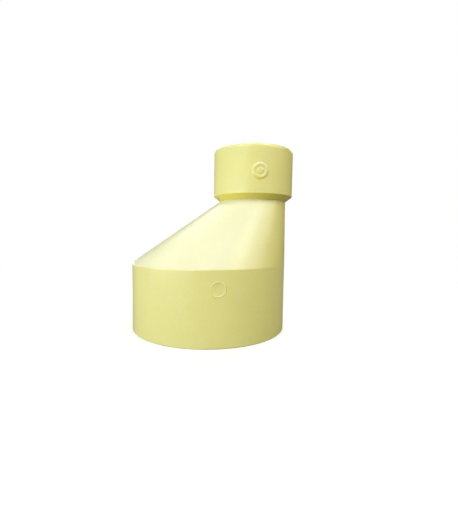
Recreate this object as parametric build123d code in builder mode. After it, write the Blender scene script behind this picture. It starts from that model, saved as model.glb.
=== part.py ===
from build123d import *

import math
import os

# Eccentric pipe reducer, moulded in one piece. Two round sockets with parallel
# axes are joined by a slanting cone whose walls all lean to one side, so that
# the cone's outside is one straight line with the large socket on the +X side.
# The large socket's mouth is on the ground, at Z = 0, centred on the origin.
# The small socket opens upwards, set over towards +X.

# The pipes that the sockets take, and the room that each pipe has in its socket
large_pipe_d = 110.0
large_fit = 0.4
small_pipe_d = 56.0
small_fit = 0.2

# Large socket
large_wall = 4.0
large_depth = 48.0
large_floor = 2.4
large_stop = 2.5
large_rim_bevel = 0.5
large_lead_in = 1.0

# Small socket
small_wall = 2.4
small_depth = 32.0
small_floor = 2.9
small_rim_land = 0.2
small_rim_side_round = 5.0
small_rim_side_turn = 25.0
small_lead_in = 0.3

# Cone and neck between the sockets
cone_height = 47.6
cone_wall = 4.0
crease_round = 1.5
flush_stop = 0.4
neck_step = 5.0
shoulder_height = 3.8
shoulder_round = 0.6

# Round marks that two mould inserts leave on the front
mark_root = 0.6
mark_run_out = 0.1
large_mark_d = 10.4
large_mark_drop = 12.2
large_mark_turn = 8.1
large_mark_band = 1.0
large_mark_relief = 0.24
large_mark_slope = 0.4
large_mark_dish = 0.3
small_mark_d = 11.9
small_mark_drop = 19.6
small_mark_turn = 4.3
small_mark_band = 3.0
small_mark_relief = 0.6
small_mark_slope = 1.1
small_mark_floor_relief = 0.2
small_mark_boss_d = 4.4
small_mark_boss_relief = 0.4
small_mark_boss_slope = 0.5

# Radii
large_bore_r = (large_pipe_d + large_fit) / 2
large_r = large_bore_r + large_wall
small_bore_r = (small_pipe_d + small_fit) / 2
small_r = small_bore_r + small_wall
neck_r = small_r - neck_step
neck_bore_r = neck_r - cone_wall

# The small socket's rim is rounded gently up its side and then tightly over its top
rim_turn = math.radians(small_rim_side_turn)
rim_side_set_back = small_rim_side_round * (1 - math.cos(rim_turn))
rim_set_back = small_wall - small_lead_in - small_rim_land
small_rim_top_round = (rim_set_back - rim_side_set_back) / math.cos(rim_turn)
small_rim_drop = small_rim_side_round * math.sin(rim_turn) + small_rim_top_round * (1 - math.sin(rim_turn))

# The small socket stands over so far that the neck ends flush with the large socket
offset = large_r - neck_r

# Heights
crease_z = large_depth + large_floor
neck_z = crease_z + cone_height
shoulder_z = neck_z + shoulder_height
small_stop_z = shoulder_z + small_floor
top_z = small_stop_z + small_depth

# The cone's long side, seen from the front, leans over by this angle from the vertical
lean_run = 2 * (large_r - neck_r)
lean = math.atan2(lean_run, cone_height)

# The crease's rounding starts this far below the corner of the two outlines
crease_tangent = crease_round * math.tan(lean / 2)
crease_start_z = crease_z - crease_tangent
crease_bands = 3
cone_bands = 6

# The chamber inside the cone narrows to the neck's bore where the long side is one wall thick
chamber_top_z = crease_z + (large_r + offset - neck_bore_r - cone_wall / math.cos(lean)) / math.tan(lean)
chamber_foot_r = large_bore_r - (large_stop + flush_stop) / 2
chamber_foot_x = (large_stop - flush_stop) / 2

# The marks lie below the crease and below the small socket's rim
large_mark_z = crease_z - large_mark_drop
small_mark_z = top_z - small_mark_drop

small_axis = Axis((offset, 0, 0), (0, 0, 1))
small_plane = Plane(origin=(offset, 0, 0), x_dir=(1, 0, 0), z_dir=(0, -1, 0))


def evenly(start, end, bands):
    """Sets of values in even steps from start to end, both included."""
    return [tuple(a + (b - a) * step / bands for a, b in zip(start, end)) for step in range(bands + 1)]


def flush_circle(long_side_x):
    """A circle from the long side's outline over to the flush line, in the open sketch."""
    with Locations(((large_r + long_side_x) / 2, 0)):
        Circle((large_r - long_side_x) / 2)


def crease_point(turn):
    """The long side's outline where it has turned through this angle of the crease."""
    x = -large_r + crease_round * (1 - math.cos(turn))
    z = crease_start_z + crease_round * math.sin(turn)
    return x, z


def half_section(plane, *corners):
    """A closed outline of straight lines on one side of a socket's axis."""
    with BuildSketch(plane) as section:
        with BuildLine():
            Polyline(*corners, close=True)
        make_face()
    return section.sketch


def facing(centre_x, turn, height):
    """The upright plane on a socket's axis that looks out towards a mark on the front."""
    angle = math.radians(turn)
    return Plane(
        origin=(centre_x, 0, height),
        x_dir=(math.cos(angle), math.sin(angle), 0),
        z_dir=(math.sin(angle), -math.cos(angle), 0),
    )


def raised_band(plane, wall_r, outer_d, inner_d, relief, slope):
    """A low band, or a boss where inner_d is 0, that follows a socket's wall and slopes down to it."""
    with BuildPart() as band:
        with BuildSketch(plane):
            Circle(outer_d / 2)
            if inner_d > 0:
                Circle(inner_d / 2, mode=Mode.SUBTRACT)
        extrude(amount=wall_r + 2 * relief)
        with Locations(plane.origin):
            Cylinder(wall_r + relief, 2 * outer_d, mode=Mode.INTERSECT)
            Cylinder(wall_r - mark_root, 2 * outer_d, mode=Mode.SUBTRACT)
        if slope > 0:
            outer_face = faces().sort_by(Axis(plane.origin, plane.z_dir))[-1]
            chamfer(outer_face.edges(), slope, relief + mark_run_out, reference=outer_face)
    return band.part


def dish(plane, wall_r, width, depth):
    """The ball that hollows a shallow dish into a socket's wall."""
    ball_r = (width ** 2 / 4 + depth ** 2) / (2 * depth)
    with BuildPart() as ball:
        with Locations(plane.origin + plane.z_dir * (wall_r - depth + ball_r)):
            Sphere(ball_r)
    return ball.part


large_mark_plane = facing(0, large_mark_turn, large_mark_z)
large_mark_inner_d = large_mark_d - 2 * large_mark_band
large_mark = raised_band(
    large_mark_plane, large_r, large_mark_d, large_mark_inner_d, large_mark_relief, large_mark_slope
)
large_mark_hollow = dish(large_mark_plane, large_r, large_mark_d - large_mark_band, large_mark_dish)

small_mark_plane = facing(offset, small_mark_turn, small_mark_z)
small_mark_inner_d = small_mark_d - 2 * small_mark_band
small_mark = raised_band(
    small_mark_plane, small_r, small_mark_d, small_mark_inner_d, small_mark_relief, small_mark_slope
)
small_mark_floor_d = small_mark_d - small_mark_band
small_mark_floor = raised_band(small_mark_plane, small_r, small_mark_floor_d, 0, small_mark_floor_relief, 0)
small_mark_boss = raised_band(
    small_mark_plane, small_r, small_mark_boss_d, 0, small_mark_boss_relief, small_mark_boss_slope
)

with BuildPart() as reducer_body:
    # Outside of the large socket
    with BuildSketch(Plane.XY):
        Circle(large_r)
    extrude(amount=crease_start_z)
    chamfer(reducer_body.edges().group_by(Axis.Z)[0], large_rim_bevel)

    # Rounded crease and slanting cone, in line with the large socket on the flush side
    crease = [crease_point(lean * step / crease_bands) for step in range(crease_bands)]
    long_side = evenly(crease_point(lean), (offset - neck_r, neck_z), cone_bands)
    for long_side_x, long_side_z in crease + long_side:
        with BuildSketch(Plane.XY.offset(long_side_z)):
            flush_circle(long_side_x)
    loft(ruled=True)

    # Shoulder and outside of the small socket
    with BuildSketch(small_plane):
        with BuildLine():
            rim_side = JernArc(
                (small_r, top_z - small_rim_drop), (0, 1), small_rim_side_round, small_rim_side_turn
            )
            rim_top = JernArc(rim_side @ 1, rim_side % 1, small_rim_top_round, 90 - small_rim_side_turn)
            Polyline(rim_top @ 1, (0, top_z), (0, neck_z), (neck_r, neck_z), (small_r, shoulder_z), rim_side @ 0)
        make_face()
        fillet(vertices().group_by(Axis.X)[-1].sort_by(Axis.Y)[0], shoulder_round)
    revolve(axis=small_axis)

    # Marks on the front
    add(large_mark_hollow, mode=Mode.SUBTRACT)
    add(large_mark)
    add(small_mark)
    add(small_mark_floor)
    add(small_mark_boss)

    # Bore of the large socket, as deep as the pipe's stop
    large_bore = half_section(
        Plane.XZ,
        (0, 0),
        (large_bore_r + large_lead_in, 0),
        (large_bore_r, large_lead_in),
        (large_bore_r, large_depth),
        (0, large_depth),
    )
    revolve(large_bore, axis=Axis.Z, mode=Mode.SUBTRACT)

    # Chamber inside the cone, from the pipe's stop up to the neck
    chamber_foot = (chamber_foot_x, chamber_foot_r, large_depth)
    chamber_top = (offset, neck_bore_r, chamber_top_z)
    for centre_x, radius, height in evenly(chamber_foot, chamber_top, cone_bands):
        with BuildSketch(Plane.XY.offset(height)):
            with Locations((centre_x, 0)):
                Circle(radius)
    loft(ruled=True, mode=Mode.SUBTRACT)

    # Neck and bore of the small socket, with the pipe's stop between them
    small_bore = half_section(
        small_plane,
        (0, chamber_top_z),
        (neck_bore_r, chamber_top_z),
        (neck_bore_r, small_stop_z),
        (small_bore_r, small_stop_z),
        (small_bore_r, top_z - small_lead_in),
        (small_bore_r + small_lead_in, top_z),
        (0, top_z),
    )
    revolve(small_bore, axis=small_axis, mode=Mode.SUBTRACT)

reducer_body.part.label = "reducer_body"
os.makedirs("parts", exist_ok=True)
export_step(reducer_body.part, "parts/reducer_body.step")
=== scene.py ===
import math

import bpy
from mathutils import Matrix, Vector


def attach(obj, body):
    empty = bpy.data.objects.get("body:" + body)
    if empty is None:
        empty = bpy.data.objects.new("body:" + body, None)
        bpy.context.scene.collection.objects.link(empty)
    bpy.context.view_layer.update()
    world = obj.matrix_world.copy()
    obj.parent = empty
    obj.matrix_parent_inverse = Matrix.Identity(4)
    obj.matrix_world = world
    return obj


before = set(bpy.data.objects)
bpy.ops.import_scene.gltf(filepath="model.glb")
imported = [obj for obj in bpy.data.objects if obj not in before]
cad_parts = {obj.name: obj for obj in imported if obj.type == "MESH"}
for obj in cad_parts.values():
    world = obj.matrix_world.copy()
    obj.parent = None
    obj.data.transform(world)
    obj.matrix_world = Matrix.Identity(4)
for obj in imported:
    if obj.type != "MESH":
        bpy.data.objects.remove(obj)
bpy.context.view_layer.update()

# The photograph's frame, which the camera's focal length in pixels belongs to
IMAGE_HEIGHT = 512
FOCAL_PIXELS = 318.0
SENSOR = 36.0

# Where the camera stood, in metres, and how it was turned
CAMERA_PLACE = Vector((0.01053, -0.25452, 0.07324))
CAMERA_YAW = -0.0203
CAMERA_DOWN = 0.0709
CAMERA_ROLL = 0.0145

# The middle of the fitting, which the lamps point at, and how far off the aimed lamps stand
BODY_MIDDLE = Vector((0.002, 0.0, 0.068))
LAMP_DISTANCE = 1.2

# The aimed softboxes: azimuth from the front, elevation, width, height, power and colour
SOFTBOXES = {
    "key": (-32, 33, 0.9, 0.45, 4.8, (0.93, 1.0, 1.14)),
    "low_left": (-55, 1.5, 1.6, 0.18, 9.4, (0.92, 1.0, 1.14)),
    "top_front": (8, 60, 1.0, 0.5, 3.1, (0.96, 1.0, 0.98)),
    "top_right": (46, 47, 0.35, 0.5, 2.3, (1.0, 1.0, 0.86)),
    "right": (68, 34, 0.9, 0.6, 4.1, (1.04, 1.0, 0.8)),
    "back": (-172, 50, 1.2, 0.8, 4.6, (0.94, 1.0, 1.0)),
    "back_left": (-133, 1.5, 1.0, 0.18, 1.5, (0.94, 1.0, 1.08)),
    "back_right": (157, 36, 1.0, 0.7, 4.2, (0.96, 1.0, 0.92)),
}

# A wide dim panel that hangs level over the fitting
PANEL_PLACE = Vector((-0.2, -0.1, 0.87))
PANEL_WIDTH = 1.5
PANEL_DEPTH = 1.3
PANEL_POWER = 2.9

# The world's even light on the fitting, and the white that the camera sees in its place
WORLD_LIGHT = 0.15
WORLD_COLOUR = (1.0, 1.0, 0.8, 1.0)
WHITE = (1.0, 1.0, 1.0, 1.0)

# The floor reaches far behind the fitting, so that it meets the white world at the horizon.
# The camera sees a grey that glows, so that the shadow stays soft, and past the fade white
FLOOR_SIZE = 8.0
FLOOR_TRUE_GREY = (0.2, 0.2, 0.2, 1.0)
FLOOR_SEEN_GREY = (0.4, 0.4, 0.4, 1.0)
FLOOR_SEEN_GLOW = 0.6
FLOOR_FADE_START = 0.16
FLOOR_FADE_END = 0.5

# The moulding compound's colour; a paler colour painted on the faces that look up as painted light, a painted
# highlight, which also tints the random wisps; and a deeper colour painted on the faces that look down as
# painted shade
CREAM = (0.80, 0.726, 0.255, 1.0)
PAINTED_TOP_LIGHT_AND_WISP = (0.752, 0.72, 0.445, 1.0)
PAINTED_UNDER_SHADE = (0.88, 0.745, 0.125, 1.0)

# How far up or down a face looks, as its normal's height, where the painted top light and the painted under
# shade each start and are full
TOP_LIGHT_STARTS = 0.1
TOP_LIGHT_FULL = 0.6
UNDER_SHADE_STARTS = -0.1
UNDER_SHADE_FULL = -0.5

# The skin's detail: noise scales in features per metre, how much the noise upwards is drawn out, the pale
# top-light colour's share in a wisp, and the grain's height in metres
STREAK_SCALE = 70.0
STREAK_STRETCH = 0.25
CLOUD_SCALE = 45.0
WISP_SCALE = 180.0
WISP_SHARE = 0.14
GRAIN_SCALE = 900.0
GRAIN_HEIGHT = 0.000004

# The noise's usual range, the colour's change of depth over it, and the roughness
NOISE_RANGE = (0.3, 0.7)
WISP_RANGE = (0.5, 0.8)
DEPTH_RANGE = (0.985, 1.015)
GLOSS_RANGE = (0.24, 0.27)
REFRACTION = 1.45

# The small socket's wall, as in the part's source, and where the round mark on it has its
# middle: degrees from the front and metres above the floor
SMALL_AXIS_X = 0.0337
SMALL_WALL_R = 0.0305
MARK_TURN = 4.3
MARK_HEIGHT = 0.1171

# The mark's low boss, groove and soft bead: distance from the middle and rise above the
# wall, in metres. It lies over the CAD's mark everywhere, and ends just inside the wall
MARK_PROFILE = (
    (0.0, 0.0006),
    (0.0013, 0.0006),
    (0.00265, 0.0003),
    (0.0045, 0.0007),
    (0.00635, -0.00005),
)
MARK_STEPS = 8
MARK_SIDES = 96


def node(tree, kind, **settings):
    """A shader node with its settings; a setting that names a socket sets that socket."""
    made = tree.nodes.new(kind)
    for name, value in settings.items():
        if name in made.inputs:
            made.inputs[name].default_value = value
        else:
            setattr(made, name, value)
    return made


def softbox(name, place, aim, width, height, power, colour=(1.0, 1.0, 1.0)):
    """A rectangular area lamp at place that faces aim."""
    data = bpy.data.lights.new(name, "AREA")
    data.shape = "RECTANGLE"
    data.size = width
    data.size_y = height
    data.energy = power
    data.color = colour
    lamp = bpy.data.objects.new(name, data)
    lamp.location = place
    lamp.rotation_euler = (Vector(aim) - Vector(place)).to_track_quat("-Z", "Y").to_euler()
    bpy.context.scene.collection.objects.link(lamp)
    return lamp


def photograph_camera():
    """The camera at the place and angle that the photograph was taken from."""
    data = bpy.data.cameras.new("camera")
    data.sensor_width = SENSOR
    data.lens = FOCAL_PIXELS * SENSOR / IMAGE_HEIGHT
    data.clip_start = 0.01
    data.clip_end = 20.0
    camera = bpy.data.objects.new("camera", data)
    turn = Matrix.Rotation(CAMERA_YAW, 4, "Z")
    turn = turn @ Matrix.Rotation(math.pi / 2 - CAMERA_DOWN, 4, "X")
    turn = turn @ Matrix.Rotation(CAMERA_ROLL, 4, "Z")
    camera.matrix_world = Matrix.Translation(CAMERA_PLACE) @ turn
    bpy.context.scene.collection.objects.link(camera)
    bpy.context.scene.camera = camera


def spread(tree, value, start, end, low=0.0, high=1.0, interpolation="LINEAR"):
    """A value from start to end spread over low to high."""
    made = node(tree, "ShaderNodeMapRange", interpolation_type=interpolation)
    made.inputs["From Min"].default_value = start
    made.inputs["From Max"].default_value = end
    made.inputs["To Min"].default_value = low
    made.inputs["To Max"].default_value = high
    tree.links.new(value, made.inputs["Value"])
    return made.outputs["Result"]


def noise(tree, vector, scale, detail):
    """Noise of a size that belongs to the fitting, in features per metre."""
    made = node(tree, "ShaderNodeTexNoise", Scale=scale, Detail=detail, Roughness=0.5)
    tree.links.new(vector, made.inputs["Vector"])
    return made.outputs["Fac"]


def blend(tree, share, first, second):
    """The first colour turning into the second."""
    made = node(tree, "ShaderNodeMix", data_type="RGBA")
    for socket, colour in ((6, first), (7, second)):
        if isinstance(colour, tuple):
            made.inputs[socket].default_value = colour
        else:
            tree.links.new(colour, made.inputs[socket])
    tree.links.new(share, made.inputs["Factor"])
    return made.outputs[2]


def moulded_upvc():
    """Semi-gloss cream uPVC with the faint grain, streaks and clouds of a moulded skin, with painted light
    that makes faces looking up paler and painted shade that makes faces looking down deeper.
    """
    material = bpy.data.materials.new("moulded_upvc")
    material.use_nodes = True
    tree = material.node_tree
    links = tree.links
    shader = tree.nodes["Principled BSDF"]
    shader.inputs["IOR"].default_value = REFRACTION
    place = node(tree, "ShaderNodeTexCoord")

    # Flow streaks and wisps that run upwards, clouds in the compound, and the mould's fine grain
    stretch = node(tree, "ShaderNodeMapping", Scale=(1.0, 1.0, STREAK_STRETCH))
    links.new(place.outputs["Object"], stretch.inputs["Vector"])
    streaks = noise(tree, stretch.outputs["Vector"], STREAK_SCALE, 1.0)
    wisps = noise(tree, stretch.outputs["Vector"], WISP_SCALE, 1.0)
    clouds = noise(tree, place.outputs["Object"], CLOUD_SCALE, 2.0)
    grain = noise(tree, place.outputs["Object"], GRAIN_SCALE, 1.0)

    # Painted light: the faces that look up are painted paler. Painted shade: the faces that look down are
    # painted deeper
    parts = node(tree, "ShaderNodeSeparateXYZ")
    links.new(place.outputs["Normal"], parts.inputs["Vector"])
    painted_top_light = spread(tree, parts.outputs["Z"], TOP_LIGHT_STARTS, TOP_LIGHT_FULL, interpolation="SMOOTHSTEP")
    painted_under_shade = spread(tree, parts.outputs["Z"], UNDER_SHADE_STARTS, UNDER_SHADE_FULL, interpolation="SMOOTHSTEP")
    colour = blend(tree, spread(tree, wisps, *WISP_RANGE, 0.0, WISP_SHARE), CREAM, PAINTED_TOP_LIGHT_AND_WISP)
    # Painted light: faces that look up turn paler
    colour = blend(tree, painted_top_light, colour, PAINTED_TOP_LIGHT_AND_WISP)
    # Painted shade: faces that look down turn a deeper colour
    colour = blend(tree, painted_under_shade, colour, PAINTED_UNDER_SHADE)

    # Slight changes of depth in the colour
    cloudy = spread(tree, clouds, *NOISE_RANGE, *DEPTH_RANGE)
    grainy = spread(tree, grain, *NOISE_RANGE, *DEPTH_RANGE)
    depth = node(tree, "ShaderNodeMath", operation="MULTIPLY")
    links.new(cloudy, depth.inputs[0])
    links.new(grainy, depth.inputs[1])
    shade = node(tree, "ShaderNodeVectorMath", operation="SCALE")
    links.new(colour, shade.inputs[0])
    links.new(depth.outputs[0], shade.inputs["Scale"])
    links.new(shade.outputs["Vector"], shader.inputs["Base Color"])

    # The gloss changes a little along the streaks, and the grain breaks it up
    links.new(spread(tree, streaks, *NOISE_RANGE, *GLOSS_RANGE), shader.inputs["Roughness"])
    skin = node(tree, "ShaderNodeBump", Strength=1.0, Distance=GRAIN_HEIGHT)
    links.new(grain, skin.inputs["Height"])
    links.new(skin.outputs["Normal"], shader.inputs["Normal"])
    return material


def mark_point(distance, turn, rise):
    """The place on the small socket's wall at this distance and turn round the mark, lifted by rise."""
    angle = math.radians(MARK_TURN) + distance * math.cos(turn) / SMALL_WALL_R
    out = SMALL_WALL_R + rise
    height = MARK_HEIGHT + distance * math.sin(turn)
    return (SMALL_AXIS_X + out * math.sin(angle), -out * math.cos(angle), height)


def soft_mark(material):
    """The small socket's moulded mark: a rounded bead round a low boss."""
    rows = []
    for (inner, low), (outer, high) in zip(MARK_PROFILE, MARK_PROFILE[1:]):
        for step in range(1, MARK_STEPS + 1):
            share = step / MARK_STEPS
            eased = share * share * (3 - 2 * share)
            rows.append((inner + (outer - inner) * share, low + (high - low) * eased))
    points = [mark_point(0.0, 0.0, MARK_PROFILE[0][1])]
    for distance, rise in rows:
        for side in range(MARK_SIDES):
            points.append(mark_point(distance, 2 * math.pi * side / MARK_SIDES, rise))
    faces = []
    for side in range(MARK_SIDES):
        beside = (side + 1) % MARK_SIDES
        faces.append((0, 1 + side, 1 + beside))
        for row in range(len(rows) - 1):
            start = 1 + row * MARK_SIDES
            after = start + MARK_SIDES
            faces.append((start + side, after + side, after + beside, start + beside))
    mesh = bpy.data.meshes.new("small_mark")
    mesh.from_pydata(points, [], faces)
    mesh.shade_smooth()
    mesh.materials.append(material)
    mark = bpy.data.objects.new("small_mark", mesh)
    bpy.context.scene.collection.objects.link(mark)
    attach(mark, "root")


def white_world():
    """A dim even world that the camera sees as white."""
    world = bpy.data.worlds.new("white_world")
    world.use_nodes = True
    tree = world.node_tree
    tree.nodes.clear()
    path = node(tree, "ShaderNodeLightPath")
    seen = node(tree, "ShaderNodeBackground", Color=WHITE, Strength=1.0)
    lit = node(tree, "ShaderNodeBackground", Color=WORLD_COLOUR, Strength=WORLD_LIGHT)
    mix = node(tree, "ShaderNodeMixShader")
    out = node(tree, "ShaderNodeOutputWorld")
    tree.links.new(path.outputs["Is Camera Ray"], mix.inputs[0])
    tree.links.new(lit.outputs[0], mix.inputs[1])
    tree.links.new(seen.outputs[0], mix.inputs[2])
    tree.links.new(mix.outputs[0], out.inputs[0])
    bpy.context.scene.world = world


def pale_floor():
    """White for the camera, apart from the fitting's soft shadow, and grey for all other light."""
    material = bpy.data.materials.new("pale_floor")
    material.use_nodes = True
    tree = material.node_tree
    tree.nodes.clear()
    links = tree.links
    grey = node(tree, "ShaderNodeBsdfDiffuse", Color=FLOOR_TRUE_GREY)
    near = node(tree, "ShaderNodeBsdfDiffuse", Color=FLOOR_SEEN_GREY)
    glow = node(tree, "ShaderNodeEmission", Color=WHITE, Strength=FLOOR_SEEN_GLOW)
    shadowed = node(tree, "ShaderNodeAddShader")
    links.new(near.outputs[0], shadowed.inputs[0])
    links.new(glow.outputs[0], shadowed.inputs[1])
    white = node(tree, "ShaderNodeEmission", Color=WHITE, Strength=1.0)
    place = node(tree, "ShaderNodeTexCoord")
    length = node(tree, "ShaderNodeVectorMath", operation="LENGTH")
    links.new(place.outputs["Object"], length.inputs[0])
    away = spread(tree, length.outputs["Value"], FLOOR_FADE_START, FLOOR_FADE_END, interpolation="SMOOTHSTEP")
    seen = node(tree, "ShaderNodeMixShader")
    links.new(away, seen.inputs[0])
    links.new(shadowed.outputs[0], seen.inputs[1])
    links.new(white.outputs[0], seen.inputs[2])
    path = node(tree, "ShaderNodeLightPath")
    choice = node(tree, "ShaderNodeMixShader")
    links.new(path.outputs["Is Camera Ray"], choice.inputs[0])
    links.new(grey.outputs[0], choice.inputs[1])
    links.new(seen.outputs[0], choice.inputs[2])
    out = node(tree, "ShaderNodeOutputMaterial")
    links.new(choice.outputs[0], out.inputs["Surface"])
    return material


def floor():
    """A plain level floor."""
    half = FLOOR_SIZE / 2
    corners = [(-half, -half, 0), (half, -half, 0), (half, half, 0), (-half, half, 0)]
    mesh = bpy.data.meshes.new("floor")
    mesh.from_pydata(corners, [], [(0, 1, 2, 3)])
    made = bpy.data.objects.new("floor", mesh)
    bpy.context.scene.collection.objects.link(made)
    mesh.materials.append(pale_floor())


def lamps():
    """Plain soft studio light: aimed softboxes and one level panel."""
    for name, (azimuth, elevation, width, height, power, colour) in SOFTBOXES.items():
        turn = math.radians(azimuth)
        rise = math.radians(elevation)
        level = math.cos(rise)
        out = Vector((math.sin(turn) * level, -math.cos(turn) * level, math.sin(rise)))
        softbox(name, BODY_MIDDLE + out * LAMP_DISTANCE, BODY_MIDDLE, width, height, power, colour)
    panel = softbox("panel", PANEL_PLACE, BODY_MIDDLE, PANEL_WIDTH, PANEL_DEPTH, PANEL_POWER)
    panel.rotation_euler = (0.0, 0.0, 0.0)


bpy.context.scene.view_settings.view_transform = "Standard"
photograph_camera()
white_world()
floor()
lamps()

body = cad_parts["reducer_body"]
body.data.materials.clear()
skin = moulded_upvc()
body.data.materials.append(skin)
soft_mark(skin)
